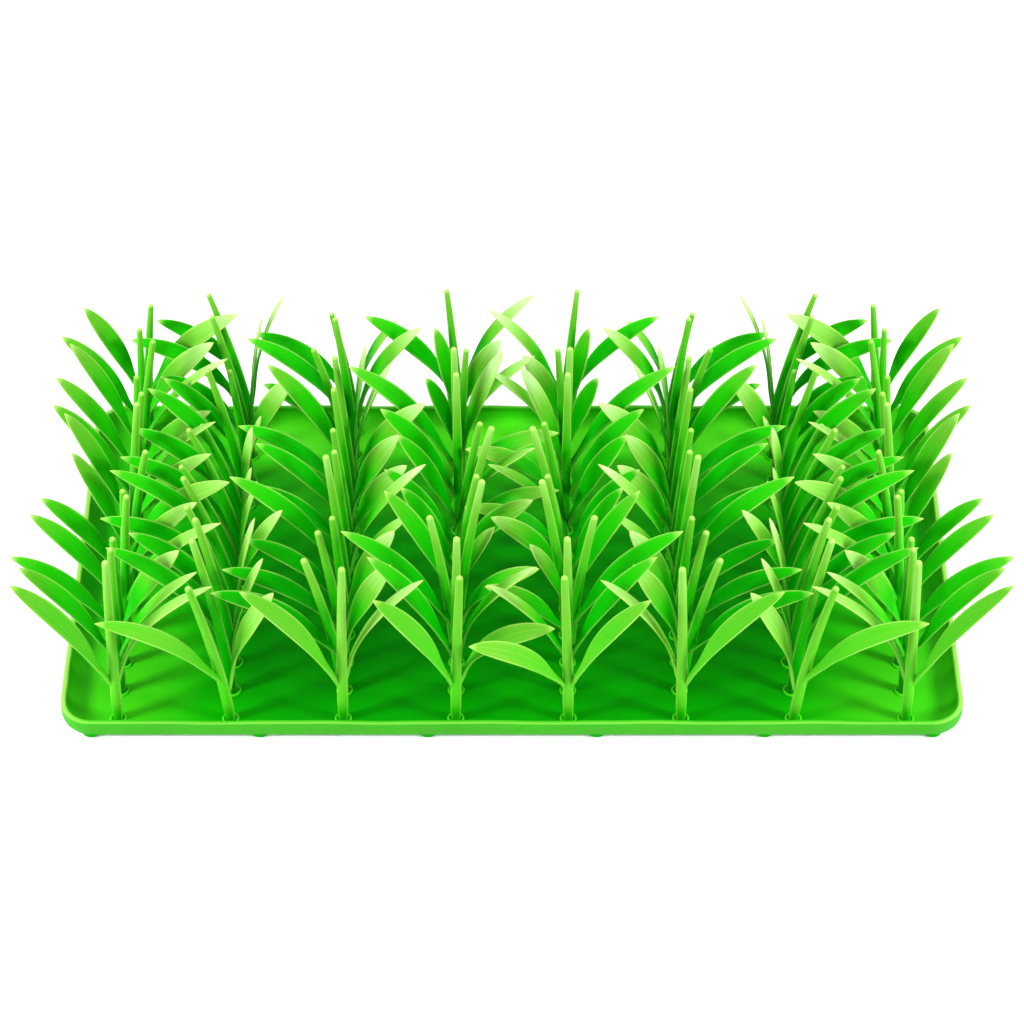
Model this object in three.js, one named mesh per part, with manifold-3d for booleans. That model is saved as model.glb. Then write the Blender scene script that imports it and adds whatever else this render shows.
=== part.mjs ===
// A feeding mat of soft green silicone: a shallow tray with a low rim and round feet, planted with eight
// lines of grass tufts. Each tuft is a stem that carries one round rod and two strap leaves.
// Millimetres, +Z up. X runs across the mat, -Y is its front edge and Z = 0 is the surface it lies on.
import * as THREE from "three";
import { mergeVertices } from "three/addons/utils/BufferGeometryUtils.js";
import Module from "manifold-3d";

// Tray
const TRAY_WIDTH = 303;
const TRAY_DEPTH = 155;
const CORNER_RADIUS = 11;
const CORNER_STEPS = 4;
const FOOT_HEIGHT = 0.9;
const WALL_HEIGHT = 7.6;
const WALL_THICKNESS = 1.8;
const FLOOR_THICKNESS = 1.5;
const EDGE_ROUND = 2;
const RIM_ROUND = 0.4;
const FLOOR_FILLET = 4.2;
const FILLET_SHOULDER = 0.3 * FLOOR_FILLET;
const CUT_PAST_RIM = 1;

// Round feet under the tray
const FEET_ACROSS = 6;
const FEET_DEEP = 3;
const FOOT_PITCH = 56.4;
const FOOT_TOP_RADIUS = 3.3;
const FOOT_BASE_RADIUS = 2.7;
const FOOT_INSET = 4;
const FOOT_SUNK = 0.4;
const FOOT_SIDES = 8;

// Lines of tufts, and the flush strip that each line stands on
const LINE_PITCH = 37.8;
const ROW_PITCH = 12.7;
const STRIP_WIDTH = 6;
const STRIP_THICKNESS = 0.6;
const STRIP_END = 2.6;
const CLEARANCE = 0.3;

// Stem and rod
const FLARE_HALF = 2.1;
const FLARE_HEIGHT = 1.4;
const STEM_HALF = 1.8;
const ROD_TOP_HALF = 1.15;
const ROD_TIP = 0.9;
const ROD_STEPS = 2;
const ROD_BEND_LEAN = 0.2;
const ROD_BEND_HEIGHT = 0.45;

// Leaf blade
const FORK_HEIGHT = 17;
const LEAF_ROOT_OFFSET = 0.5;
const LEAF_ROOT_DEPTH = 3;
const LEAF_BOW = 0.7;
const LEAF_SET_OFF = 4.05;
const LEAF_SET_OFF_BY = 0.32;
const LEAF_TURN_FROM = 0.1;
const LEAF_TURN_TO = 0.55;
const OUTER_LEAF_TURN = 53;
const BLADE_THICKNESS = 1.1;
const BLADE_DEPTH = 4.28;

// Leaf sections from root to tip: how far along, share of the blade's full width, and thickness
const LEAF_SECTIONS = [
  { along: 0, share: 0.43, thickness: 1.5 },
  { along: 0.32, share: 0.57, thickness: 1.2 },
  { along: 0.63, share: 1, thickness: BLADE_THICKNESS },
  { along: 0.87, share: 0.75, thickness: BLADE_THICKNESS },
];

// The tufts of the left half, line by line from the outer edge to the middle, and in each line from the
// front to the back. The right half mirrors them. Each row holds, from the foot of the stem:
// rod lean to the middle, rod height, outer leaf reach and height, inner leaf reach and height, and the angle
// in degrees by which the inner leaf turns its upper face to the front.
const TUFT_LINES = [
  [
    [2, 76, 29, 69, 35, 60, 10],
    [2, 69, 28, 64, 30, 62, 16],
    [1, 61, 33, 56, 23, 59, 59],
    [5, 68, 27, 63, 36, 59, 28],
    [2, 58, 25, 58, 27, 56, 52],
    [9, 64, 15, 67, 37, 53, 59],
    [6, 74, 18, 73, 30, 54, 46],
    [6, 67, 24, 65, 31, 57, 5],
    [3, 63, 24, 66, 28, 50, 52],
    [8, 68, 20, 70, 34, 63, 10],
    [2, 62, 25, 62, 28, 59, 59],
    [5, 62, 18, 64, 36, 61, 59],
  ],
  [
    [-10, 64, 41, 51, 17, 57, 52],
    [-9, 73, 38, 65, 13, 60, 22],
    [-9, 70, 32, 59, 10, 66, 16],
    [-13, 63, 43, 53, 18, 57, 40],
    [-15, 64, 40, 63, 9, 58, 13],
    [-17, 57, 38, 57, 6, 52, 16],
    [-15, 62, 34, 58, 6, 59, 34],
    [-12, 52, 30, 65, 8, 52, 16],
    [-10, 66, 26, 58, 19, 59, 58],
    [-4, 54, 29, 47, 20, 44, 22],
    [-10, 68, 40, 53, 7, 64, 5],
    [-12, 67, 32, 51, 14, 63, 0],
  ],
  [
    [2, 73, 31, 66, 28, 63, 10],
    [-11, 64, 42, 52, 17, 57, 58],
    [-7, 64, 39, 50, 18, 60, 59],
    [-3, 58, 32, 51, 23, 55, 22],
    [-5, 74, 37, 68, 28, 66, 22],
    [-3, 64, 35, 51, 21, 53, 59],
    [-4, 62, 30, 59, 18, 55, 59],
    [-4, 69, 37, 55, 27, 58, 59],
    [-4, 72, 27, 72, 15, 65, 5],
    [-12, 64, 30, 51, 6, 62, 16],
    [-5, 67, 36, 61, 25, 59, 46],
    [-7, 58, 34, 52, 16, 51, 16],
  ],
  [
    [2, 69, 26, 62, 33, 40, 59],
    [1, 74, 28, 69, 27, 56, 10],
    [-8, 71, 37, 68, 28, 42, 52],
    [9, 75, 23, 74, 13, 49, 40],
    [7, 65, 18, 63, 26, 49, 58],
    [12, 75, 24, 59, 35, 41, 46],
    [8, 65, 20, 63, 27, 49, 10],
    [0, 76, 26, 63, 35, 44, 52],
    [-1, 76, 37, 71, 16, 71, 52],
    [3, 64, 11, 54, 27, 57, 22],
    [-6, 54, 8, 66, 15, 53, 58],
    [-4, 69, 33, 60, 27, 63, 34],
  ],
];

const OUTERMOST_LINES = [1, 8];
const SECOND_LINES = [2, 7];
const RIGHT_OF_MIDDLE = 5;
const FRONT = -1;
const BACK = 1;
const FLOOR_TOP = FOOT_HEIGHT + FLOOR_THICKNESS;
const RIM_TOP = FOOT_HEIGHT + WALL_HEIGHT;
const ROWS = TUFT_LINES[0].length;
const STRIP_LENGTH = (ROWS - 1) * ROW_PITCH + 2 * STRIP_END;
const UP = new THREE.Vector3(0, 0, 1);
const ACROSS = new THREE.Vector3(1, 0, 0);
const DEPTHWISE = new THREE.Vector3(0, 1, 0);

const wasm = await Module();
wasm.setup();

const TRAY_MATERIAL = new THREE.MeshStandardMaterial({ color: 0x2fb416, roughness: 0.5, metalness: 0 });
const GRASS_MATERIAL = new THREE.MeshStandardMaterial({ color: 0x63cc2c, roughness: 0.5, metalness: 0 });

// A closed geometry as a solid that can be joined and cut
function solidOf(geometry) {
  const bare = geometry.clone();
  bare.deleteAttribute("normal");
  bare.deleteAttribute("uv");
  const merged = mergeVertices(bare);
  const vertProperties = new Float32Array(merged.attributes.position.array);
  const triVerts = new Uint32Array(merged.index.array);
  return new wasm.Manifold(new wasm.Mesh({ numProp: 3, vertProperties, triVerts }));
}

function joined(solids) {
  return solids.reduce((whole, piece) => whole.add(piece));
}

function meshOf(name, solid, material) {
  const { vertProperties, triVerts } = solid.getMesh();
  const geometry = new THREE.BufferGeometry();
  geometry.setAttribute("position", new THREE.BufferAttribute(vertProperties, 3));
  geometry.setIndex(new THREE.BufferAttribute(triVerts, 1));
  geometry.computeVertexNormals();
  const mesh = new THREE.Mesh(geometry, material);
  mesh.name = name;
  return mesh;
}

// The two triangles of a face with four corners, which is split along its shorter diagonal
function splitFace(points, a, b, c, d) {
  const throughA = points[a].distanceTo(points[c]) < points[b].distanceTo(points[d]);
  return throughA ? [a, b, c, a, c, d] : [a, b, d, b, c, d];
}

// A closed skin over rings of corners, which turn anticlockwise as seen from the last ring.
// With a tip point the skin closes on it, and otherwise on a flat cap.
function loft(rings, tip) {
  const corners = rings[0].length;
  const last = rings.length - 1;
  const points = rings.flat();
  const index = [];
  const at = (ring, corner) => ring * corners + (corner % corners);
  for (let ring = 0; ring < last; ring += 1) {
    for (let k = 0; k < corners; k += 1) {
      index.push(...splitFace(points, at(ring, k), at(ring, k + 1), at(ring + 1, k + 1), at(ring + 1, k)));
    }
  }
  for (let k = 1; k < corners - 1; k += 1) {
    index.push(at(0, 0), at(0, k + 1), at(0, k));
  }
  if (tip) {
    points.push(tip);
    for (let k = 0; k < corners; k += 1) {
      index.push(at(last, k), at(last, k + 1), rings.length * corners);
    }
  } else {
    for (let k = 1; k < corners - 1; k += 1) {
      index.push(at(last, 0), at(last, k), at(last, k + 1));
    }
  }
  const geometry = new THREE.BufferGeometry().setFromPoints(points);
  geometry.setIndex(index);
  return geometry;
}

// The four corners of a flat bar's section, seen along its run
function barSection(centre, run, wide, width, thickness) {
  const thin = new THREE.Vector3().crossVectors(run, wide).normalize();
  const signs = [[1, 1], [-1, 1], [-1, -1], [1, -1]];
  return signs.map(([w, t]) =>
    centre.clone().addScaledVector(wide, (w * width) / 2).addScaledVector(thin, (t * thickness) / 2),
  );
}

// The tray's outline at one height, drawn in by an inset, with its corners as arcs
function trayRing(inset, z) {
  const halfWidth = TRAY_WIDTH / 2 - CORNER_RADIUS;
  const halfDepth = TRAY_DEPTH / 2 - CORNER_RADIUS;
  const radius = CORNER_RADIUS - inset;
  const ring = [];
  for (let corner = 0; corner < 4; corner += 1) {
    const x = corner === 0 || corner === 3 ? halfWidth : -halfWidth;
    const y = corner < 2 ? halfDepth : -halfDepth;
    for (let step = 0; step <= CORNER_STEPS; step += 1) {
      const angle = (Math.PI / 2) * (corner + step / CORNER_STEPS);
      ring.push(new THREE.Vector3(x + radius * Math.cos(angle), y + radius * Math.sin(angle), z));
    }
  }
  return ring;
}

function trayBody() {
  return solidOf(loft([
    trayRing(EDGE_ROUND, FOOT_HEIGHT),
    trayRing(0, FOOT_HEIGHT + EDGE_ROUND),
    trayRing(0, RIM_TOP - RIM_ROUND),
    trayRing(RIM_ROUND, RIM_TOP),
  ]));
}

// The hollow inside the rim, with a fillet where the wall runs into the floor
function trayHollow() {
  return solidOf(loft([
    trayRing(WALL_THICKNESS + FLOOR_FILLET, FLOOR_TOP),
    trayRing(WALL_THICKNESS + FILLET_SHOULDER, FLOOR_TOP + FILLET_SHOULDER),
    trayRing(WALL_THICKNESS, FLOOR_TOP + FLOOR_FILLET),
    trayRing(WALL_THICKNESS, RIM_TOP + CUT_PAST_RIM),
  ]));
}

function stripBox(x, margin, bottom, top) {
  const box = new THREE.BoxGeometry(STRIP_WIDTH + 2 * margin, STRIP_LENGTH + 2 * margin, top - bottom);
  box.translate(x, 0, (bottom + top) / 2);
  return solidOf(box);
}

function foot(x, y) {
  const height = FOOT_HEIGHT + FOOT_SUNK;
  const peg = new THREE.CylinderGeometry(FOOT_TOP_RADIUS, FOOT_BASE_RADIUS, height, FOOT_SIDES);
  peg.rotateX(Math.PI / 2);
  peg.translate(x, y, height / 2);
  return solidOf(peg);
}

function feet() {
  const pegs = [];
  const edgeRow = TRAY_DEPTH / 2 - FOOT_INSET;
  for (let column = 0; column < FEET_ACROSS; column += 1) {
    for (let row = 0; row < FEET_DEEP; row += 1) {
      const x = (column - (FEET_ACROSS - 1) / 2) * FOOT_PITCH;
      const y = edgeRow * ((2 * row) / (FEET_DEEP - 1) - 1);
      pegs.push(foot(x, y));
    }
  }
  return pegs;
}

// The tray, with a shallow groove in its floor under each line of tufts
function tray(lineCentres) {
  const grooveFloor = FLOOR_TOP - STRIP_THICKNESS - CLEARANCE;
  let body = joined([trayBody(), ...feet()]).subtract(trayHollow());
  for (const x of lineCentres) {
    body = body.subtract(stripBox(x, CLEARANCE, grooveFloor, RIM_TOP));
  }
  return meshOf("tray", body, TRAY_MATERIAL);
}

// A stem with a flared foot that runs on into a slender rod with a blunt tip
function rod(foot, lean, height) {
  const top = foot.clone().addScaledVector(ACROSS, lean).addScaledVector(UP, height - ROD_TIP);
  const bend = foot.clone().addScaledVector(ACROSS, lean * ROD_BEND_LEAN);
  bend.addScaledVector(UP, height * ROD_BEND_HEIGHT);
  const spine = new THREE.QuadraticBezierCurve3(foot, bend, top);
  const sunk = foot.clone().addScaledVector(UP, -STRIP_THICKNESS / 2);
  const rings = [barSection(sunk, UP, ACROSS, 2 * FLARE_HALF, 2 * FLARE_HALF)];
  for (let step = 0; step <= ROD_STEPS; step += 1) {
    const along = Math.max(step / ROD_STEPS, FLARE_HEIGHT / height);
    const half = THREE.MathUtils.lerp(STEM_HALF, ROD_TOP_HALF, along ** 2);
    rings.push(barSection(spine.getPoint(along), UP, ACROSS, 2 * half, 2 * half));
  }
  return loft(rings, top.clone().addScaledVector(UP, ROD_TIP));
}

// The line that a leaf follows in the plane of its tuft: up along the stem, then bowed over to its tip
function leafSpine(foot, side, reach, height) {
  const root = foot.clone().addScaledVector(ACROSS, side * LEAF_ROOT_OFFSET);
  root.addScaledVector(UP, FORK_HEIGHT - LEAF_ROOT_DEPTH);
  const tip = foot.clone().addScaledVector(ACROSS, side * reach).addScaledVector(UP, height);
  const chord = tip.clone().sub(root);
  const slope = Math.atan2(chord.z, Math.abs(chord.x));
  const bow = (chord.length() / 2) * Math.tan(LEAF_BOW * (Math.PI / 2 - slope));
  const outward = new THREE.Vector3(-side * Math.sin(slope), 0, Math.cos(slope));
  const bend = root.clone().addScaledVector(chord, 0.5).addScaledVector(outward, bow);
  return new THREE.QuadraticBezierCurve3(root, bend, tip);
}

// The full width of a blade, which is less the flatter it lies, so that it keeps to its own slab of depth
function bladeWidth(turn) {
  return (BLADE_DEPTH - BLADE_THICKNESS * Math.sin(turn)) / Math.cos(turn);
}

// A strap leaf that stands edge-on at its root and turns its upper face to the front further out.
// Near its root it moves in front of its stem or behind it, to pass the leaves of the next line.
function leaf(foot, side, reach, height, depth, degrees) {
  const spine = leafSpine(foot, side, reach, height);
  const turn = THREE.MathUtils.degToRad(degrees);
  const centreAt = (along) => {
    const setOff = LEAF_SET_OFF * THREE.MathUtils.smoothstep(along, 0, LEAF_SET_OFF_BY);
    return spine.getPoint(along).addScaledVector(DEPTHWISE, depth * setOff);
  };
  const rings = LEAF_SECTIONS.map(({ along, share, thickness }) => {
    const run = spine.getTangent(along);
    const upright = new THREE.Vector3().crossVectors(run, DEPTHWISE).multiplyScalar(side).normalize();
    const turned = turn * THREE.MathUtils.smoothstep(along, LEAF_TURN_FROM, LEAF_TURN_TO);
    const wide = DEPTHWISE.clone().multiplyScalar(Math.cos(turned));
    wide.addScaledVector(upright, Math.sin(turned));
    return barSection(centreAt(along), run, wide, share * bladeWidth(turn), thickness);
  });
  return loft(rings, centreAt(1));
}

// Outer leaves pass in front of the rods, except behind the front row on the second line from each side
function outerLeafDepth(number, row) {
  return row > 0 && SECOND_LINES.includes(number) ? BACK : FRONT;
}

// Inner leaves pass behind the rods, except where they cross in front of the next line's leaves: on the line
// right of the middle, and behind the front row on the outermost lines
function innerLeafDepth(number, row) {
  const crosses = number === RIGHT_OF_MIDDLE || (row > 0 && OUTERMOST_LINES.includes(number));
  return crosses ? FRONT : BACK;
}

// One line of tufts from front to back, fused at their roots into a strip.
// inward is the side of the middle: +1 on the left half of the mat and -1 on the right half.
function grassLine(number, x, inward, tufts) {
  const pieces = [stripBox(x, 0, FLOOR_TOP - STRIP_THICKNESS, FLOOR_TOP)];
  tufts.forEach(([lean, rodTop, outerReach, outerTop, innerReach, innerTop, innerTurn], row) => {
    const foot = new THREE.Vector3(x, (row - (ROWS - 1) / 2) * ROW_PITCH, FLOOR_TOP);
    const stem = solidOf(rod(foot, inward * lean, rodTop));
    const outerDepth = outerLeafDepth(number, row);
    const innerDepth = innerLeafDepth(number, row);
    const outerLeaf = solidOf(leaf(foot, -inward, outerReach, outerTop, outerDepth, OUTER_LEAF_TURN));
    const innerLeaf = solidOf(leaf(foot, inward, innerReach, innerTop, innerDepth, innerTurn));
    pieces.push(joined([stem, outerLeaf, innerLeaf]));
  });
  return meshOf(`grass_line_${number}`, joined(pieces), GRASS_MATERIAL);
}

// Eight lines, numbered from left to right
function grassLines() {
  const half = TUFT_LINES.length;
  const lines = [];
  for (let number = 1; number <= 2 * half; number += 1) {
    const onLeft = number <= half;
    const tufts = TUFT_LINES[onLeft ? number - 1 : 2 * half - number];
    const x = (number - half - 0.5) * LINE_PITCH;
    lines.push({ number, x, inward: onLeft ? 1 : -1, tufts });
  }
  return lines;
}

const lines = grassLines();
const mat = new THREE.Group();
mat.add(tray(lines.map((line) => line.x)));
for (const { number, x, inward, tufts } of lines) {
  mat.add(grassLine(number, x, inward, tufts));
}

export default mat;
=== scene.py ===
"""The looks of a grass lick mat: a green silicone tray with lines of round rods and strap leaves."""

import math

import bmesh
import bpy
import numpy as np
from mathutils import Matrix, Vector


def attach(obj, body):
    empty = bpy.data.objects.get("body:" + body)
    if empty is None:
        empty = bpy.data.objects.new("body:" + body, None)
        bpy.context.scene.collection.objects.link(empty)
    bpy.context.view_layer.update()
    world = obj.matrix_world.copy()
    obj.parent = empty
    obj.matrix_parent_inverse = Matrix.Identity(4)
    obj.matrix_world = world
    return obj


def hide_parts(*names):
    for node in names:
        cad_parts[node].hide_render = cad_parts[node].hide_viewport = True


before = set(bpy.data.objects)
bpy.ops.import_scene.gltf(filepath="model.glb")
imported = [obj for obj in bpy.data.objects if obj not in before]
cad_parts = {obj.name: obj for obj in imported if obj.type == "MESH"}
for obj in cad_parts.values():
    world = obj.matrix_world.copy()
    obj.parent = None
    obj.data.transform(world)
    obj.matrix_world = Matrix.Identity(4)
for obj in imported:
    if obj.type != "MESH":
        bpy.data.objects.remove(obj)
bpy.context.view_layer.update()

# One millimetre, and the distance within which points join, in metres
MM = 0.001
JOIN_WITHIN = 0.000001

# Sizes from here to the leaves are in millimetres and angles in degrees. What ends in BY, FROM or TO is a
# share of the way along a prong, or from the floor's edge to its middle.

# Tray
TRAY_WIDTH = 303
TRAY_DEPTH = 155
CORNER_RADIUS = 11
FOOT_HEIGHT = 0.9
RIM_TOP = 8.5
FLOOR_TOP = 2.4
WALL_THICKNESS = 1.8
EDGE_ROUND = 3.4
RIM_ROUND = 0.4
FLOOR_FILLET = 4.2
UNDERSIDE_INSET = 12.0
SIDE_STEP = 4.0
CORNER_STEPS = 12
QUARTER_STEPS = 4
FLOOR_RINGS = 34

# Waves of the floor and the rim: their heights, lengths and shares
FLOOR_WAVE = 0.08
FLOOR_LONG_WAVE = (17.0, 19.0)
FLOOR_LONG_START = 0.4
FLOOR_BEND = 0.6
FLOOR_BEND_LENGTH = 23.0
FLOOR_SHORT_WAVE = 11.0
FLOOR_SHORT_SLANT = 1.7
FLOOR_SETTLE_BY = 0.12
RIM_WAVE = 0.28
RIM_LONG_WAVE = (9.0, 8.0)
RIM_SHORT_WAVE = (4.3, 5.0)
LONG_SHARE = 0.7
SHORT_SHARE = 0.3

# Round feet, with the radius and height of each step of their profile from the top down
FEET_ACROSS = 6
FEET_DEEP = 3
FOOT_PITCH = 56.4
FOOT_INSET = 4.0
FOOT_SIDES = 32
FOOT_PROFILE = [
    (3.3, 2.2),
    (3.3, 0.8),
    (2.85, 0.5),
    (2.7, 0.25),
    (2.5, 0.06),
    (2.2, 0.0),
]

# Collars that the stems stand in
COLLAR_RADIUS = 2.4
COLLAR_BEAD = 0.5
COLLAR_RISE = 0.35
COLLAR_SIDES = 28
BEAD_SIDES = 10

# Lines of tufts
LINE_PITCH = 37.8
ROW_PITCH = 12.7
STEM_RADIUS = 1.85
ROOT_RADIUS = 1.6
ROOT_SWELL_BY = 0.14
FRONT_ROD_TOP_RADIUS = 1.2
BACK_ROD_TOP_RADIUS = 0.95
ROD_SIDES = 18
ROD_RINGS = 18
ROD_TIP_RINGS = 5
ROD_BEND_LEAN = 0.2
ROD_BEND_HEIGHT = 0.45
ROOT_SUNK = 0.8

# Leaves
FORK_HEIGHT = 17
LEAF_ROOT_OFFSET = 0.5
LEAF_ROOT_DEPTH = 3
LEAF_BOW = 0.7
LEAF_SET_OFF = 4.05
LEAF_SET_OFF_BY = 0.32
LEAF_TURN_FROM = 0.14
LEAF_TURN_TO = 0.6
OUTER_LEAF_TURN = 53
OUTER_TURN_PLAY = 3
TURN_PLAY_BY_ROW = 1.7
TURN_PLAY_BY_LINE = 2.1
LEAF_ROOT_WIDTH = 2.2
LEAF_SWELL_FROM = 0.12
LEAF_WIDEST = 0.66
LEAF_TIP_ROUND = 2.3
LEAF_TIP_POWER = 0.75
BLADE_DEPTH = 4.4
LEAF_ROOT_THICKNESS = 1.9
LEAF_THICKNESS = 0.95
LEAF_THIN_BY = 0.42
LEAF_ROOT_SHARE = 0.5
LEAF_FULL_BY = 0.14
LEAF_TIP_THICKNESS = 0.25
LEAF_TIP_LENGTH = 0.2
LEAF_ROUNDNESS = 0.5
LEAF_DISHED = (0.15, 0.5)
LEAF_GUTTER = 0.3
LEAF_GUTTER_LEVEL = 0.5
LEAF_RIDGE = 0.05
LEAF_RIDGES = 4
LEAF_RIDGE_FADE = 8
LEAF_RINGS = 26
LEAF_LAST_RING = 0.995
LEAF_RING_CROWDING = 1.15
LEAF_SIDES = 28

# Shade of each surface, from 0, deep green, to 1, pale green. Much of it is painted light and shade:
# lighter floors at the sides and back, lighter inner walls and collars, painted shade at stem feet and leaf
# roots and inside the tufts, and painted light on tall and far prongs. A floor's span is in millimetres from
# the middle of the tray, and a stem's is a share of its length.
FLOOR_SHADE = 0.05
FLOOR_SIDE_PAINTED_LIGHT = 0.4
FLOOR_SIDE_SPAN = (75.0, 132.0)
FLOOR_SIDE_FADE = 0.45
FLOOR_SIDE_FADE_SPAN = (-45.0, -5.0)
FLOOR_REAR_PAINTED_LIGHT = 0.28
FLOOR_REAR_SPAN = (-10.0, 40.0)
FLOOR_BACK_PAINTED_LIGHT = 0.67
FLOOR_BACK_SPAN = (46.0, 60.0)
BACK_CORNER_FADE = 0.85
BACK_CORNER_SPAN = (85.0, 125.0)
INNER_WALL_PAINTED_LIGHT = 0.52
SIDE_WALL_PAINTED_LIGHT = 0.43
WALL_SHADE = 0.1
RIM_SHADE = 0.33
COLLAR_PAINTED_LIGHT = 0.55
LEAF_PAINTED_LIGHT_POWER = 1.3
STEM_FOOT_PAINTED_SHADE = 0.6
STEM_FOOT_SPAN = (0.0, 0.1)
STREAK_SHADE = 0.1
STREAK_SHIFT = 3.7
HEIGHT_PAINTED_LIGHT = 0.01
DEPTH_PAINTED_LIGHT = 0.1
MID_HEIGHT = 61

# Shade at the root of a tuft and at the tip of each prong, on the front row, the outermost lines and inside.
# These are painted light and shade: lighter on the front row and the outermost lines, where light falls,
# darker at the roots and inside, where the tufts shade each other, with the inner leaves palest where they
# face the side lamps.
FRONT_ROW_PAINTED_SHADES = {"root": 0.56, "rod": 0.64, "outer leaf": 0.65, "inner leaf": 0.92}
SIDE_LINE_PAINTED_SHADES = {"root": 0.26, "rod": 0.64, "outer leaf": 0.62, "inner leaf": 0.92}
INSIDE_PAINTED_SHADES = {"root": 0.12, "rod": 0.68, "outer leaf": 0.5, "inner leaf": 1.0}

# Shares of the whitish colour of the wall and rim, tips and leaf margins, and where on a prong they set in.
# The wall's share is its own paler hue. On the rim's crest it is partly the thin lip and partly a painted
# highlight, and on the sides of the rim painted light. On rod tips and rod sides it is a painted highlight.
# Leaf tips and margins are thin and partly paler, with a painted highlight that fades in painted shade
# near the root.
WALL_PALE = 0.075
RIM_CREST_PALE_AND_HIGHLIGHT = 0.25
SIDE_RIM_PAINTED_LIGHT = 0.5
INNER_RIM_PAINTED_LIGHT = 0.35
ROD_TIP_HIGHLIGHT = 0.8
ROD_EDGE_HIGHLIGHT = 0.3
ROD_EDGE_SPAN = (0.75, 1.0)
LEAF_TIP_PALE_AND_HIGHLIGHT = 0.8
LEAF_TIP_SPAN = (0.95, 1.0)
LOWER_MARGIN = 0.6
UPPER_MARGIN = 0.4
MARGIN_SPAN = (0.8, 0.98)
ROOT_MARGIN = 0.25
ROOT_MARGIN_SPAN = (0.3, 0.8)

# Colours of the tray and the grass at steps of the shade, which holds painted light and shade, and the
# whitish colour, which also serves for painted highlights. The tray's bright greens at 0.55 and 0.7 are
# for the painted light on its inner walls, collars and back floor.
TRAY_GREENS = [
    (0.0, (0.0, 0.185, 0.0)),
    (0.2, (0.002, 0.27, 0.0)),
    (0.4, (0.03, 0.36, 0.004)),
    (0.55, (0.03, 0.5, 0.004)),
    (0.7, (0.085, 0.7, 0.013)),
    (1.0, (0.39, 0.6, 0.24)),
]
GRASS_GREENS = [
    (0.0, (0.0, 0.185, 0.0)),
    (0.3, (0.001, 0.295, 0.0)),
    (0.5, (0.012, 0.36, 0.001)),
    (0.7, (0.1, 0.345, 0.019)),
    (0.85, (0.21, 0.46, 0.08)),
    (1.0, (0.38, 0.61, 0.23)),
]
WHITISH_AND_HIGHLIGHT = (0.42, 0.6, 0.14)

# Scales of the silicone's clouds, streaks, gloss and mould grain
NOISE_DETAIL = 2.0
CLOUD_SCALE = 28.0
CLOUD_DETAIL = 3.0
CLOUD_SHADE = 0.12
STREAK_SCALE = 5.0
GLOSS_SCALE = 160.0
SMOOTHEST = 0.38
ROUGHEST = 0.56
SPECULAR = 0.03
GRAIN_SCALE = 2600.0
GRAIN_STRENGTH = 0.12
GRAIN_DEPTH = 0.00008

# Pale floor under the mat, in metres
STAGE_HALF = 3.0
STAGE_LEVEL = -0.0001
STAGE_TONES = ((0.93, 0.93, 0.93), (0.96, 0.96, 0.96))
STAGE_TONE_SCALE = 3.0
STAGE_ROUGHNESS = 0.9

# Camera, in metres and degrees, with its sensor and lens in millimetres
CAMERA_TILT = 45
CAMERA_DISTANCE = 1.204
TARGET_Y = 0.0292
TARGET_Z = 0.0016
SENSOR_WIDTH = 36.0
LENS = 118.55

# Soft key light on the right, mirrored on the left, in metres, watts and degrees
KEY_X = 0.7
KEY_Y = -0.3
KEY_Z = 0.45
KEY_AIM_X = 0.1
KEY_AIM_Z = 0.02
KEY_SIZE = 0.2
KEY_POWER = 0.58
KEY_SPREAD = 40

# Strength of the white light near the ground and overhead
LOW_SKY = 1.5
HIGH_SKY = 1.05

# Lines whose leaves cross the rods in their own way, numbered from the left, and the sides to pass on
OUTERMOST_LINES = (1, 8)
SECOND_LINES = (2, 7)
RIGHT_OF_MIDDLE = 5
FRONT = -1
BACK = 1

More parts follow.
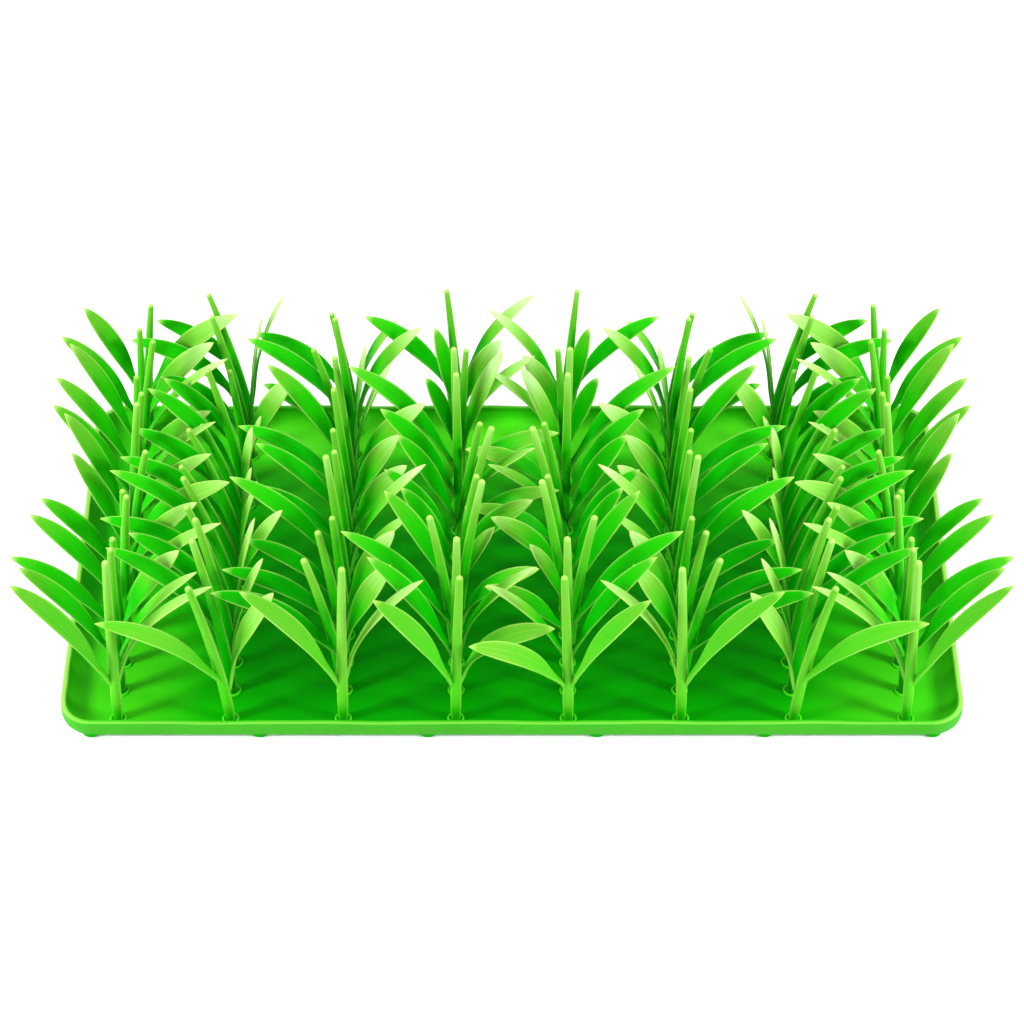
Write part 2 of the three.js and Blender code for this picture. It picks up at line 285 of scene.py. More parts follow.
# The tufts of the left half, line by line from the outer edge to the middle, and in each line from the
# front to the back. The right half mirrors them. Each row holds, in millimetres from the foot of the stem:
# rod lean to the middle, rod height, outer leaf reach and height, inner leaf reach and height, and the angle
# in degrees by which the inner leaf turns its upper face to the front.
TUFT_LINES = [
    [
        (2, 76, 29, 69, 35, 60, 10),
        (2, 69, 28, 64, 30, 62, 16),
        (1, 61, 33, 56, 23, 59, 59),
        (5, 68, 27, 63, 36, 59, 28),
        (2, 58, 25, 58, 27, 56, 52),
        (9, 64, 15, 67, 37, 53, 59),
        (6, 74, 18, 73, 30, 54, 46),
        (6, 67, 24, 65, 31, 57, 5),
        (3, 63, 24, 66, 28, 50, 52),
        (8, 68, 20, 70, 34, 63, 10),
        (2, 62, 25, 62, 28, 59, 59),
        (5, 62, 18, 64, 36, 61, 59),
    ],
    [
        (-10, 64, 41, 51, 17, 57, 52),
        (-9, 73, 38, 65, 13, 60, 22),
        (-9, 70, 32, 59, 10, 66, 16),
        (-13, 63, 43, 53, 18, 57, 40),
        (-15, 64, 40, 63, 9, 58, 13),
        (-17, 57, 38, 57, 6, 52, 16),
        (-15, 62, 34, 58, 6, 59, 34),
        (-12, 52, 30, 65, 8, 52, 16),
        (-10, 66, 26, 58, 19, 59, 58),
        (-4, 54, 29, 47, 20, 44, 22),
        (-10, 68, 40, 53, 7, 64, 5),
        (-12, 67, 32, 51, 14, 63, 0),
    ],
    [
        (2, 73, 31, 66, 28, 63, 10),
        (-11, 64, 42, 52, 17, 57, 58),
        (-7, 64, 39, 50, 18, 60, 59),
        (-3, 58, 32, 51, 23, 55, 22),
        (-5, 74, 37, 68, 28, 66, 22),
        (-3, 64, 35, 51, 21, 53, 59),
        (-4, 62, 30, 59, 18, 55, 59),
        (-4, 69, 37, 55, 27, 58, 59),
        (-4, 72, 27, 72, 15, 65, 5),
        (-12, 64, 30, 51, 6, 62, 16),
        (-5, 67, 36, 61, 25, 59, 46),
        (-7, 58, 34, 52, 16, 51, 16),
    ],
    [
        (2, 69, 26, 62, 33, 40, 59),
        (1, 74, 28, 69, 27, 56, 10),
        (-8, 71, 37, 68, 28, 42, 52),
        (9, 75, 23, 74, 13, 49, 40),
        (7, 65, 18, 63, 26, 49, 58),
        (12, 75, 24, 59, 35, 41, 46),
        (8, 65, 20, 63, 27, 49, 10),
        (0, 76, 26, 63, 35, 44, 52),
        (-1, 76, 37, 71, 16, 71, 52),
        (3, 64, 11, 54, 27, 57, 22),
        (-6, 54, 8, 66, 15, 53, 58),
        (-4, 69, 33, 60, 27, 63, 34),
    ],
]
ROWS = len(TUFT_LINES[0])
HALF_LINES = len(TUFT_LINES)


def smoothstep(value, low, high):
    """Ease from 0 at low to 1 at high."""
    share = np.clip((value - low) / (high - low), 0.0, 1.0)
    return share * share * (3.0 - 2.0 * share)


def unit(vectors):
    """Each vector at length 1."""
    return vectors / np.linalg.norm(vectors, axis=-1, keepdims=True)


def join_points(mesh):
    """Join points that lie in one place."""
    work = bmesh.new()
    work.from_mesh(mesh)
    bmesh.ops.remove_doubles(work, verts=work.verts, dist=JOIN_WITHIN)
    work.to_mesh(mesh)
    work.free()


class Skin:
    """Points and faces of one piece, gathered loft by loft, with values for the material at each point."""

    # Shade carries painted light and shade; tip is the whitish share, with painted highlights and light
    VALUES = ("shade", "tip", "across")

    def __init__(self):
        self.points = []
        self.faces = []
        self.values = {label: [] for label in self.VALUES}

    def add_points(self, points, values):
        first = len(self.points)
        self.points.extend(map(tuple, points))
        for label, flat in values.items():
            self.values[label].extend(flat)
        return first

    def loft(self, rings, start_cap=True, end_pole=None, around=False, **given):
        """Closed rings of points, given as an array of rings by corners by 3, skinned one to the next."""
        count, corners, _ = rings.shape
        values = {
            label: np.broadcast_to(given.get(label, 0.0), (count, corners)).reshape(-1)
            for label in self.VALUES
        }
        first = self.add_points(rings.reshape(-1, 3), values)
        spans = count if around else count - 1
        for ring in range(spans):
            low = first + ring * corners
            high = first + (ring + 1) % count * corners
            for k in range(corners):
                after = (k + 1) % corners
                self.faces.append((low + k, low + after, high + after, high + k))
        if start_cap and not around:
            self.faces.append(tuple(first + k for k in reversed(range(corners))))
        if end_pole is not None:
            pole = self.add_points([end_pole], {label: flat[-1:] for label, flat in values.items()})
            last = first + (count - 1) * corners
            for k in range(corners):
                self.faces.append((last + k, last + (k + 1) % corners, pole))

    def make(self, name, material):
        mesh = bpy.data.meshes.new(name)
        mesh.from_pydata([tuple(MM * c for c in p) for p in self.points], [], self.faces)
        for label, values in self.values.items():
            layer = mesh.attributes.new(label, "FLOAT", "POINT")
            layer.data.foreach_set("value", np.asarray(values, dtype=np.float32))
        join_points(mesh)
        mesh.polygons.foreach_set("use_smooth", np.ones(len(mesh.polygons), dtype=bool))
        mesh.materials.append(material)
        mesh.validate()
        piece = bpy.data.objects.new(name, mesh)
        bpy.context.scene.collection.objects.link(piece)
        return piece


# Tray


def tray_outline():
    """Points round the tray at its corner-arc centres, with the outward direction of each."""
    half_x = TRAY_WIDTH / 2 - CORNER_RADIUS
    half_y = TRAY_DEPTH / 2 - CORNER_RADIUS
    corners = [(half_x, half_y), (-half_x, half_y), (-half_x, -half_y), (half_x, -half_y)]
    centres = []
    outwards = []
    for number, corner in enumerate(corners):
        for step in range(CORNER_STEPS + 1):
            angle = math.pi / 2 * (number + step / CORNER_STEPS)
            centres.append(corner)
            outwards.append((math.cos(angle), math.sin(angle)))
        following = corners[(number + 1) % len(corners)]
        steps = round(math.dist(corner, following) / SIDE_STEP)
        angle = math.pi / 2 * (number + 1)
        for step in range(1, steps):
            share = step / steps
            centres.append(tuple((1 - share) * a + share * b for a, b in zip(corner, following)))
            outwards.append((math.cos(angle), math.sin(angle)))
    return np.array(centres), np.array(outwards)


def floor_wave(x, y):
    """Soft rises and dips of the thin floor."""
    across, deep = FLOOR_LONG_WAVE
    bend = FLOOR_BEND * np.sin(y / FLOOR_BEND_LENGTH)
    long = np.sin(x / across + bend) * np.cos(y / deep + FLOOR_LONG_START)
    short = np.sin((x + FLOOR_SHORT_SLANT * y) / FLOOR_SHORT_WAVE)
    return FLOOR_WAVE * (LONG_SHARE * long + SHORT_SHARE * short)


def rim_wave(x, y):
    """Slight unevenness of the soft rim."""
    long = np.sin(x / RIM_LONG_WAVE[0] + y / RIM_LONG_WAVE[1])
    short = np.sin(x / RIM_SHORT_WAVE[0] - y / RIM_SHORT_WAVE[1])
    return RIM_WAVE * (LONG_SHARE * long + SHORT_SHARE * short)


def floor_painted_light(x, y):
    """Shade of the floor: painted light beside the front of the outermost lines and along the back edge."""
    off_middle = np.abs(x)
    front = 1 - FLOOR_SIDE_FADE * smoothstep(y, *FLOOR_SIDE_FADE_SPAN)
    side = FLOOR_SHADE + (FLOOR_SIDE_PAINTED_LIGHT - FLOOR_SHADE) * smoothstep(off_middle, *FLOOR_SIDE_SPAN) * front
    rear = FLOOR_SHADE + (FLOOR_REAR_PAINTED_LIGHT - FLOOR_SHADE) * smoothstep(y, *FLOOR_REAR_SPAN)
    inside = 1 - BACK_CORNER_FADE * smoothstep(off_middle, *BACK_CORNER_SPAN)
    back = (FLOOR_BACK_PAINTED_LIGHT - FLOOR_REAR_PAINTED_LIGHT) * smoothstep(y, *FLOOR_BACK_SPAN) * inside
    return np.maximum(side, rear + back)


def tray_profile():
    """Each ring from the underside over the rim to the floor's edge.

    Columns: inset, height, shade at the front and back, and at the sides, share of the floor's shade,
    whitish share at the front and back, and at the sides. The shades hold painted light on the inner walls
    and the floor, and the whitish shares hold painted highlights and painted light on the rim.
    """
    quarter = [math.pi / 2 * step / QUARTER_STEPS for step in range(QUARTER_STEPS + 1)]
    low = FOOT_HEIGHT + EDGE_ROUND
    lip = RIM_TOP - RIM_ROUND
    inner_lip = WALL_THICKNESS - RIM_ROUND
    inner = WALL_THICKNESS + FLOOR_FILLET
    high = FLOOR_TOP + FLOOR_FILLET
    rows = [(UNDERSIDE_INSET, FOOT_HEIGHT, FLOOR_SHADE, FLOOR_SHADE, 0, 0, 0)]
    for a in quarter:
        inset = EDGE_ROUND * (1 - math.sin(a))
        height = low - EDGE_ROUND * math.cos(a)
        rows.append((inset, height, WALL_SHADE, WALL_SHADE, 0, WALL_PALE, WALL_PALE))
    # Outer lip: the crest pales, partly thin lip, partly painted highlight, with painted light at the sides
    for a in quarter:
        inset = RIM_ROUND * (1 - math.cos(a))
        shade = WALL_SHADE + (RIM_SHADE - WALL_SHADE) * math.sin(a)
        front_pale_and_highlight = WALL_PALE + (RIM_CREST_PALE_AND_HIGHLIGHT - WALL_PALE) * math.sin(a)
        side_pale_and_painted_light = WALL_PALE + (SIDE_RIM_PAINTED_LIGHT - WALL_PALE) * math.sin(a)
        rows.append((inset, lip + RIM_ROUND * math.sin(a), shade, shade, 0, front_pale_and_highlight, side_pale_and_painted_light))
    # Inner lip: whitish only at the sides, as painted light
    for a in quarter:
        inset = inner_lip + RIM_ROUND * math.sin(a)
        height = lip + RIM_ROUND * math.cos(a)
        rows.append((inset, height, RIM_SHADE, RIM_SHADE, 0, 0, INNER_RIM_PAINTED_LIGHT))
    # Fillet and inner wall: painted light, less at the sides, blending into the floor's painted light
    for a in quarter:
        inset = inner - FLOOR_FILLET * math.cos(a)
        height = high - FLOOR_FILLET * math.sin(a)
        rows.append((inset, height, INNER_WALL_PAINTED_LIGHT, SIDE_WALL_PAINTED_LIGHT, math.sin(a), 0, 0))
    return rows


def tray_rings():
    """Points, shade and whitish share of each ring, with their painted light and highlights."""
    centres, outwards = tray_outline()
    sideways = np.abs(outwards[:, 0])
    rings = []
    shades = []
    tips = []
    for inset, height, front_shade, side_shade, floor_share, front_pale_and_highlight, side_pale_and_painted_light in tray_profile():
        flat = centres + outwards * (CORNER_RADIUS - inset)
        lift = rim_wave(flat[:, 0], flat[:, 1]) * smoothstep(height, FLOOR_TOP, RIM_TOP)
        rings.append(np.column_stack([flat, height + lift]))
        shade = front_shade + (side_shade - front_shade) * sideways
        shades.append((1 - floor_share) * shade + floor_share * floor_painted_light(*flat.T))
        tips.append(front_pale_and_highlight + (side_pale_and_painted_light - front_pale_and_highlight) * sideways)
    edge = rings[-1][:, :2]
    spine_end = (TRAY_WIDTH - TRAY_DEPTH) / 2
    middle = np.column_stack([np.clip(edge[:, 0], -spine_end, spine_end), np.zeros(len(edge))])
    rings.insert(0, np.column_stack([middle, np.full(len(edge), FOOT_HEIGHT)]))
    shades.insert(0, np.full(len(edge), FLOOR_SHADE))
    tips.insert(0, np.zeros(len(edge)))
    for number in range(1, FLOOR_RINGS + 1):
        share = number / FLOOR_RINGS
        flat = (1 - share) * edge + share * middle
        settle = smoothstep(share, 0.0, FLOOR_SETTLE_BY)
        height = FLOOR_TOP + settle * floor_wave(flat[:, 0], flat[:, 1])
        rings.append(np.column_stack([flat, height]))
        # The floor's shade, with its painted light
        shades.append(floor_painted_light(*flat.T))
        tips.append(np.zeros(len(flat)))
    return np.array(rings), np.array(shades), np.array(tips)


def add_feet(skin):
    """Round feet in rows along the front, the middle and the back."""
    turns = np.linspace(0, 2 * math.pi, FOOT_SIDES, endpoint=False)
    circle = np.column_stack([np.cos(turns), -np.sin(turns), np.zeros(FOOT_SIDES)])
    edge_row = TRAY_DEPTH / 2 - FOOT_INSET
    for column in range(FEET_ACROSS):
        for row in range(FEET_DEEP):
            centre = np.array([
                (column - (FEET_ACROSS - 1) / 2) * FOOT_PITCH,
                edge_row * (2 * row / (FEET_DEEP - 1) - 1),
                0.0,
            ])
            rings = np.array([centre + radius * circle + (0, 0, z) for radius, z in FOOT_PROFILE])
            skin.loft(rings, shade=WALL_SHADE, end_pole=centre)


def add_collar(skin, x, y):
    """A raised bead round the foot of a stem."""
    base = FLOOR_TOP + floor_wave(x, y)
    rings = []
    for turn in np.linspace(0, 2 * math.pi, COLLAR_SIDES, endpoint=False):
        out = np.array([math.cos(turn), math.sin(turn), 0.0])
        bead = np.linspace(0, 2 * math.pi, BEAD_SIDES, endpoint=False)
        ring = [
            np.array([x, y, base]) + out * (COLLAR_RADIUS + COLLAR_BEAD * math.cos(b))
            + np.array([0, 0, COLLAR_BEAD * (COLLAR_RISE + math.sin(b))])
            for b in bead
        ]
        rings.append(ring)
    # The raised collars are lighter than the floor around them: painted light.
    skin.loft(np.array(rings)[:, ::-1], shade=COLLAR_PAINTED_LIGHT, around=True)


def tray(material):
    """The tray with its feet and collars, as one piece."""
    skin = Skin()
    rings, shades, tips = tray_rings()
    skin.loft(rings, start_cap=False, shade=shades, tip=tips)
    add_feet(skin)
    for x, _, _ in line_places():
        for row in range(ROWS):
            add_collar(skin, x, row_y(row))
    return skin.make("tray_skin", material)


# Grass


def row_y(row):
    return (row - (ROWS - 1) / 2) * ROW_PITCH


def line_places():
    """X, direction to the middle and tuft table of each line from left to right."""
    places = []
    for number in range(1, 2 * HALF_LINES + 1):
        on_left = number <= HALF_LINES
        tufts = TUFT_LINES[number - 1 if on_left else 2 * HALF_LINES - number]
        x = (number - HALF_LINES - 0.5) * LINE_PITCH
        places.append((x, 1 if on_left else -1, tufts))
    return places


def outer_leaf_depth(number, row):
    """Outer leaves pass in front of the rods, except on the second lines behind the front row."""
    return BACK if row > 0 and number in SECOND_LINES else FRONT


def inner_leaf_depth(number, row):
    """Inner leaves pass behind the rods, except where they cross in front of the next line's leaves."""
    crosses = number == RIGHT_OF_MIDDLE or (row > 0 and number in OUTERMOST_LINES)
    return FRONT if crosses else BACK


def bow_points(start, bend, end, along):
    """Points on the curve that leaves its start towards the bend and reaches its end from there."""
    along = along[:, None]
    return (1 - along) ** 2 * start + 2 * along * (1 - along) * bend + along ** 2 * end


def bow_runs(start, bend, end, along):
    """Direction of the same curve at each point."""
    along = along[:, None]
    return unit(2 * (1 - along) * (bend - start) + 2 * along * (end - bend))


def depth_share(foot):
    """How far back a tuft stands, from 0 at the front edge to 1 at the back."""
    return foot[1] / TRAY_DEPTH + 0.5


def height_painted_light(height):
    """How much painted light a prong gets for standing taller than the rest."""
    return HEIGHT_PAINTED_LIGHT * (height - MID_HEIGHT)


def leaf_painted_light(foot, height):
    """How much painted light a leaf's tip gets for standing tall or far back."""
    return height_painted_light(height) + DEPTH_PAINTED_LIGHT * depth_share(foot)


def add_rod(skin, foot, lean, height, low_shade, top_shade):
    """A round stem that runs on into a slender rod with a round tip."""
    top_radius = FRONT_ROD_TOP_RADIUS + (BACK_ROD_TOP_RADIUS - FRONT_ROD_TOP_RADIUS) * depth_share(foot)
    top = foot + (lean, 0, height - top_radius)
    bend = foot + (lean * ROD_BEND_LEAN, 0, height * ROD_BEND_HEIGHT)
    along = np.linspace(0, 1, ROD_RINGS)
    centres = bow_points(foot, bend, top, along)
    runs = bow_runs(foot, bend, top, along)
    swell = smoothstep(along, 0.0, ROOT_SWELL_BY)
    radii = ROOT_RADIUS + (STEM_RADIUS - ROOT_RADIUS) * swell + (top_radius - STEM_RADIUS) * along ** 2
    centres = np.vstack([foot - (0, 0, ROOT_SUNK), centres])
    runs = np.vstack([runs[0], runs])
    radii = np.concatenate([[ROOT_RADIUS], radii])
    along = np.concatenate([[0.0], along])
    tip = np.zeros(len(along))
    # The round tip pales towards its end: a painted highlight
    for step in range(1, ROD_TIP_RINGS + 1):
        share = step / (ROD_TIP_RINGS + 1)
        angle = math.pi / 2 * share
        centres = np.vstack([centres, top + runs[-1] * top_radius * math.sin(angle)])
        runs = np.vstack([runs, runs[-1]])
        radii = np.append(radii, top_radius * math.cos(angle))
        along = np.append(along, 1.0)
        tip = np.append(tip, ROD_TIP_HIGHLIGHT * share)
    wide = unit(np.cross((0.0, 1.0, 0.0), runs))
    thin = np.cross(runs, wide)
    turns = np.linspace(0, 2 * math.pi, ROD_SIDES, endpoint=False)
    rings = centres[:, None] + radii[:, None, None] * (
        np.cos(turns)[None, :, None] * wide[:, None] + np.sin(turns)[None, :, None] * thin[:, None]
    )
    pole = top + runs[-1] * top_radius
    # Painted shade low on the rod, painted light at the top and on taller rods, darker at the foot
    shade = low_shade + (top_shade - low_shade) * along + height_painted_light(height) * along
    shade = shade * (STEM_FOOT_PAINTED_SHADE + (1 - STEM_FOOT_PAINTED_SHADE) * smoothstep(along, *STEM_FOOT_SPAN))
    # Painted highlights along both sides of the rod, joined with the tip's
    edge = ROD_EDGE_HIGHLIGHT * smoothstep(np.abs(np.cos(turns)), *ROD_EDGE_SPAN)
    pale = np.maximum(tip[:, None], edge[None])
    skin.loft(rings, shade=shade[:, None], tip=pale, end_pole=pole)


def leaf_bow(foot, side, reach, height):
    """Root, bend and tip of a leaf's line in the plane of its tuft."""
    root = foot + (side * LEAF_ROOT_OFFSET, 0, FORK_HEIGHT - LEAF_ROOT_DEPTH)
    tip = foot + (side * reach, 0, height)
    chord = tip - root
    slope = math.atan2(chord[2], abs(chord[0]))
    bow = np.linalg.norm(chord) / 2 * math.tan(LEAF_BOW * (math.pi / 2 - slope))
    outward = np.array([-side * math.sin(slope), 0, math.cos(slope)])
    return root, root + chord / 2 + bow * outward, tip


def leaf_width(along, turn):
    """Width of a blade, which is less the flatter it lies, so that it keeps to its own slab of depth."""
    full = (BLADE_DEPTH - LEAF_THICKNESS * math.sin(turn)) / math.cos(turn)
    swell = LEAF_ROOT_WIDTH + (full - LEAF_ROOT_WIDTH) * smoothstep(along, LEAF_SWELL_FROM, LEAF_WIDEST)
    past = np.clip((along - LEAF_WIDEST) / (1 - LEAF_WIDEST), 0, 1)
    return swell * (1 - past ** LEAF_TIP_ROUND) ** LEAF_TIP_POWER


def add_leaf(skin, foot, side, reach, height, depth, degrees, root_shade, tip_shade):
    """A strap leaf, edge-on at its root, that turns its upper face to the front further out."""
    turn = math.radians(degrees)
    root, bend, end = leaf_bow(foot, side, reach, height)
    along = 1 - (1 - np.linspace(0, LEAF_LAST_RING, LEAF_RINGS)) ** LEAF_RING_CROWDING
    centres = bow_points(root, bend, end, along)
    centres[:, 1] += depth * LEAF_SET_OFF * smoothstep(along, 0, LEAF_SET_OFF_BY)
    runs = bow_runs(root, bend, end, along)
    depthwise = np.array([0.0, 1.0, 0.0])
    upright = side * unit(np.cross(runs, depthwise))
    turned = turn * smoothstep(along, LEAF_TURN_FROM, LEAF_TURN_TO)[:, None]
    wide = np.cos(turned) * depthwise + np.sin(turned) * upright
    thin = np.cross(runs, wide)
    emerging = LEAF_ROOT_SHARE + (1 - LEAF_ROOT_SHARE) * smoothstep(along, 0.0, LEAF_FULL_BY)
    half = emerging * leaf_width(along, turn) / 2
    thinning = smoothstep(along, 0.0, LEAF_THIN_BY)
    thick = emerging * (LEAF_ROOT_THICKNESS + (LEAF_THICKNESS - LEAF_ROOT_THICKNESS) * thinning) / 2
    tapering = np.clip(half / (LEAF_ROOT_WIDTH / 2), LEAF_TIP_THICKNESS, 1)
    thick = thick * np.where(along < LEAF_WIDEST, 1, tapering)
    turns = np.linspace(0, 2 * math.pi, LEAF_SIDES, endpoint=False)
    across = np.cos(turns)
    face = np.sign(np.sin(turns)) * np.abs(np.sin(turns)) ** LEAF_ROUNDNESS
    dished = smoothstep(along, *LEAF_DISHED)[:, None]
    gutter = LEAF_GUTTER * dished * (across ** 2 - LEAF_GUTTER_LEVEL)[None]
    ridges = np.cos(math.pi * LEAF_RIDGES * across) * (1 - across ** LEAF_RIDGE_FADE)
    veins = LEAF_RIDGE * dished * ridges[None]
    rise = thick[:, None] * face[None] + side * (gutter + veins) * (half / half.max())[:, None]
    rings = centres[:, None] + half[:, None, None] * across[None, :, None] * wide[:, None]
    rings = rings + rise[:, :, None] * thin[:, None]
    # Thin margins, partly paler, with a painted highlight that painted shade dims near the root
    lower = LOWER_MARGIN * smoothstep(-across, *MARGIN_SPAN)
    upper = UPPER_MARGIN * smoothstep(across, *MARGIN_SPAN)
    growth = ROOT_MARGIN + (1 - ROOT_MARGIN) * smoothstep(along, *ROOT_MARGIN_SPAN)
    margin = (lower + upper)[None] * growth[:, None]
    # The thin tip is partly paler and carries a painted highlight
    tip = np.maximum(LEAF_TIP_PALE_AND_HIGHLIGHT * smoothstep(along, *LEAF_TIP_SPAN)[:, None], margin)
    # Painted shade at the root, rising to painted light towards the tip
    shade = root_shade + (tip_shade - root_shade) * along[:, None] ** LEAF_PAINTED_LIGHT_POWER
    streak = across[None] + STREAK_SHIFT * height
    skin.loft(rings, shade=shade, tip=tip, across=streak, end_pole=centres[-1] + LEAF_TIP_LENGTH * runs[-1])


def tuft_painted_shades(number, row):
    """Painted light and shade of a tuft, by where it stands."""
    if row == 0:
        return FRONT_ROW_PAINTED_SHADES
    return SIDE_LINE_PAINTED_SHADES if number in OUTERMOST_LINES else INSIDE_PAINTED_SHADES


def grass_line(number, material):
    """One line of tufts, as one piece."""
    x, inward, tufts = line_places()[number - 1]
    skin = Skin()
    for row, (lean, rod_top, outer_reach, outer_top, inner_reach, inner_top, inner_turn) in enumerate(tufts):
        foot = np.array([x, row_y(row), FLOOR_TOP])
        play = math.sin(TURN_PLAY_BY_ROW * row + TURN_PLAY_BY_LINE * number)
        outer_turn = OUTER_LEAF_TURN + OUTER_TURN_PLAY * play
        outer_depth = outer_leaf_depth(number, row)
        inner_depth = inner_leaf_depth(number, row)
        # Painted light and shade by where the tuft stands
        shades = tuft_painted_shades(number, row)
        root = shades["root"]
        # Painted light for tall and far leaves, but not on the front row's outer leaves
        outer_tip = shades["outer leaf"] + (leaf_painted_light(foot, outer_top) if row > 0 else 0)
        inner_tip = shades["inner leaf"] + leaf_painted_light(foot, inner_top)
        add_rod(skin, foot, inward * lean, rod_top, root, shades["rod"])
        add_leaf(skin, foot, -inward, outer_reach, outer_top, outer_depth, outer_turn, root, outer_tip)
        add_leaf(skin, foot, inward, inner_reach, inner_top, inner_depth, inner_turn, root, inner_tip)
    return skin.make(f"grass_{number}", material)


# Materials


class Graph:
    """A short way to add and link shader nodes."""

    # Colour sockets of a mix node
    MIX_LOW = 6
    MIX_HIGH = 7
    MIX_RESULT = 2

    def __init__(self, name):
        self.material = bpy.data.materials.new(name)
        self.material.use_nodes = True
        self.tree = self.material.node_tree
        self.shader = self.tree.nodes["Principled BSDF"]

    def node(self, kind, **values):
        made = self.tree.nodes.new(kind)
        for key, value in values.items():
            setattr(made, key, value)
        return made

    def link(self, source, target):
        self.tree.links.new(source, target)

    def noise(self, scale, detail=NOISE_DETAIL):
        place = self.node("ShaderNodeTexCoord")
        made = self.node("ShaderNodeTexNoise")
        made.inputs["Scale"].default_value = scale
        made.inputs["Detail"].default_value = detail
        self.link(place.outputs["Object"], made.inputs["Vector"])
        return made.outputs["Fac"]

    def streaks(self, source, scale):
        made = self.node("ShaderNodeTexNoise", noise_dimensions="1D")
        made.inputs["Scale"].default_value = scale
        made.inputs["Detail"].default_value = NOISE_DETAIL
        self.link(source, made.inputs["W"])
        return made.outputs["Fac"]

    def reach(self, source, low, high):
        made = self.node("ShaderNodeMapRange")
        made.inputs["To Min"].default_value = low
        made.inputs["To Max"].default_value = high
        self.link(source, made.inputs["Value"])
        return made.outputs["Result"]

    def attribute(self, name):
        return self.node("ShaderNodeAttribute", attribute_name=name).outputs["Fac"]

    def total(self, first, second):
        made = self.node("ShaderNodeMath", operation="ADD", use_clamp=True)
        self.link(first, made.inputs[0])
        self.link(second, made.inputs[1])
        return made.outputs["Value"]

    def ramp(self, source, stops):
        made = self.node("ShaderNodeValToRGB")
        places = made.color_ramp.elements
        while len(places) < len(stops):
            places.new(1.0)
        for place, (share, colour) in zip(places, stops):
            place.position = share
            place.color = (*colour, 1.0)
        self.link(source, made.inputs["Fac"])
        return made.outputs["Color"]

    def blend(self, share, low, high):
        made = self.node("ShaderNodeMix", data_type="RGBA")
        self.link(share, made.inputs["Factor"])
        for slot, value in ((self.MIX_LOW, low), (self.MIX_HIGH, high)):
            if isinstance(value, tuple):
                made.inputs[slot].default_value = (*value, 1.0)
            else:
                self.link(value, made.inputs[slot])
        return made.outputs[self.MIX_RESULT]

    def bump(self, source, strength, distance):
        made = self.node("ShaderNodeBump")
        made.inputs["Strength"].default_value = strength
        made.inputs["Distance"].default_value = distance
        self.link(source, made.inputs["Height"])
        self.link(made.outputs["Normal"], self.shader.inputs["Normal"])


def silicone(name, greens):
    """Satin moulded silicone: cloudy colour, painted light and shade, lighter thin edges and tips with
    painted highlights, a fine mould grain.
    """
    graph = Graph(name)
    clouds = graph.reach(graph.noise(CLOUD_SCALE, CLOUD_DETAIL), -CLOUD_SHADE, CLOUD_SHADE)
    streaks = graph.streaks(graph.attribute("across"), STREAK_SCALE)
    streaks = graph.reach(streaks, -STREAK_SHADE, STREAK_SHADE)
    # The shade, with its painted light and shade, plus random clouds and streaks, picks the green
    body = graph.ramp(graph.total(graph.total(graph.attribute("shade"), clouds), streaks), greens)
    colour = graph.blend(graph.attribute("tip"), body, WHITISH_AND_HIGHLIGHT)
    graph.link(colour, graph.shader.inputs["Base Color"])
    roughness = graph.reach(graph.noise(GLOSS_SCALE), SMOOTHEST, ROUGHEST)
    graph.link(roughness, graph.shader.inputs["Roughness"])
    graph.shader.inputs["Specular IOR Level"].default_value = SPECULAR
    graph.bump(graph.noise(GRAIN_SCALE), GRAIN_STRENGTH, GRAIN_DEPTH)
    return graph.material


def plain_floor():
    """A wide pale floor that the mat stands on."""
    graph = Graph("pale_floor")
    tone = graph.blend(graph.noise(STAGE_TONE_SCALE), *STAGE_TONES)
    graph.link(tone, graph.shader.inputs["Base Color"])
    graph.shader.inputs["Roughness"].default_value = STAGE_ROUGHNESS
    mesh = bpy.data.meshes.new("floor")
    ways = [(-1, -1), (1, -1), (1, 1), (-1, 1)]
    corners = [(STAGE_HALF * across, STAGE_HALF * deep, STAGE_LEVEL) for across, deep in ways]
    mesh.from_pydata(corners, [], [(0, 1, 2, 3)])
    mesh.materials.append(graph.material)
    floor = bpy.data.objects.new("floor", mesh)
    bpy.context.scene.collection.objects.link(floor)
    return floor


# Camera and light


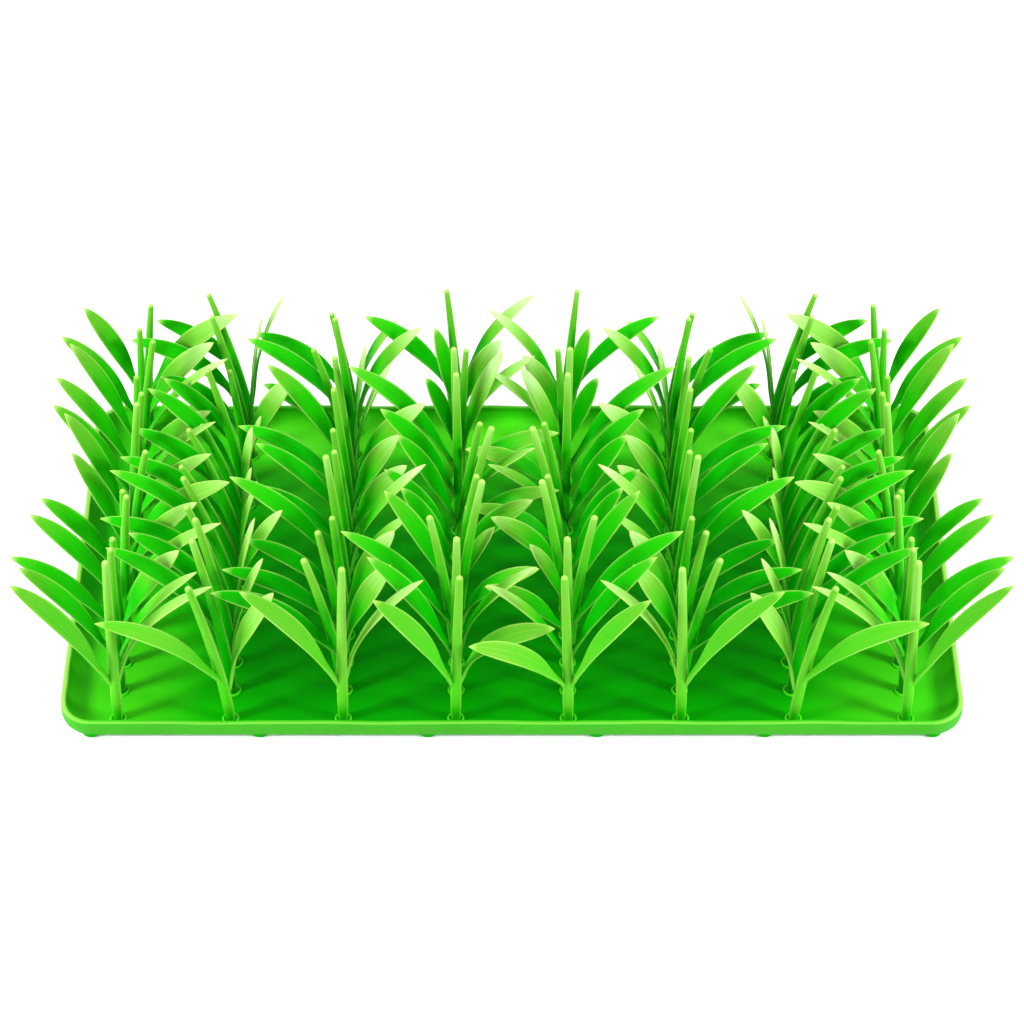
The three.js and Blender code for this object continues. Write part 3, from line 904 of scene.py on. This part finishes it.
def camera():
    """The photo's view, from the front and above."""
    tilt = math.radians(CAMERA_TILT)
    data = bpy.data.cameras.new("camera")
    data.sensor_width = SENSOR_WIDTH
    data.lens = LENS
    made = bpy.data.objects.new("camera", data)
    away = CAMERA_DISTANCE * math.cos(tilt)
    above = CAMERA_DISTANCE * math.sin(tilt)
    made.location = (0.0, TARGET_Y - away, TARGET_Z + above)
    made.rotation_euler = (math.pi / 2 - tilt, 0.0, 0.0)
    bpy.context.scene.collection.objects.link(made)
    bpy.context.scene.camera = made


def key_light(side):
    """A small soft light, on the right for 1 and on the left for -1."""
    data = bpy.data.lights.new("key", "AREA")
    data.shape = "SQUARE"
    data.size = KEY_SIZE
    data.energy = KEY_POWER
    data.spread = math.radians(KEY_SPREAD)
    made = bpy.data.objects.new("key", data)
    made.location = (side * KEY_X, KEY_Y, KEY_Z)
    aim = Vector((side * KEY_AIM_X, 0.0, KEY_AIM_Z))
    made.rotation_euler = (aim - made.location).to_track_quat("-Z", "Y").to_euler()
    bpy.context.scene.collection.objects.link(made)


def studio_world():
    """White light all round, stronger near the ground than overhead."""
    world = bpy.data.worlds.new("studio")
    world.use_nodes = True
    tree = world.node_tree
    place = tree.nodes.new("ShaderNodeTexCoord")
    parts = tree.nodes.new("ShaderNodeSeparateXYZ")
    fall = tree.nodes.new("ShaderNodeMapRange")
    fall.inputs["To Min"].default_value = LOW_SKY
    fall.inputs["To Max"].default_value = HIGH_SKY
    tree.links.new(place.outputs["Generated"], parts.inputs["Vector"])
    tree.links.new(parts.outputs["Z"], fall.inputs["Value"])
    background = tree.nodes["Background"]
    background.inputs["Color"].default_value = (1.0, 1.0, 1.0, 1.0)
    tree.links.new(fall.outputs["Result"], background.inputs["Strength"])
    return world


def studio():
    bpy.context.scene.world = studio_world()
    bpy.context.scene.view_settings.view_transform = "Standard"
    for side in (-1, 1):
        key_light(side)


camera()
studio()
plain_floor()

tray_material = silicone("tray_green", TRAY_GREENS)
grass_material = silicone("grass_green", GRASS_GREENS)

tray_skin = tray(tray_material)
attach(tray_skin, "root")
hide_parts("tray")

for line_number in range(1, 2 * HALF_LINES + 1):
    grass = grass_line(line_number, grass_material)
    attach(grass, "root")
    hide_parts(f"grass_line_{line_number}")
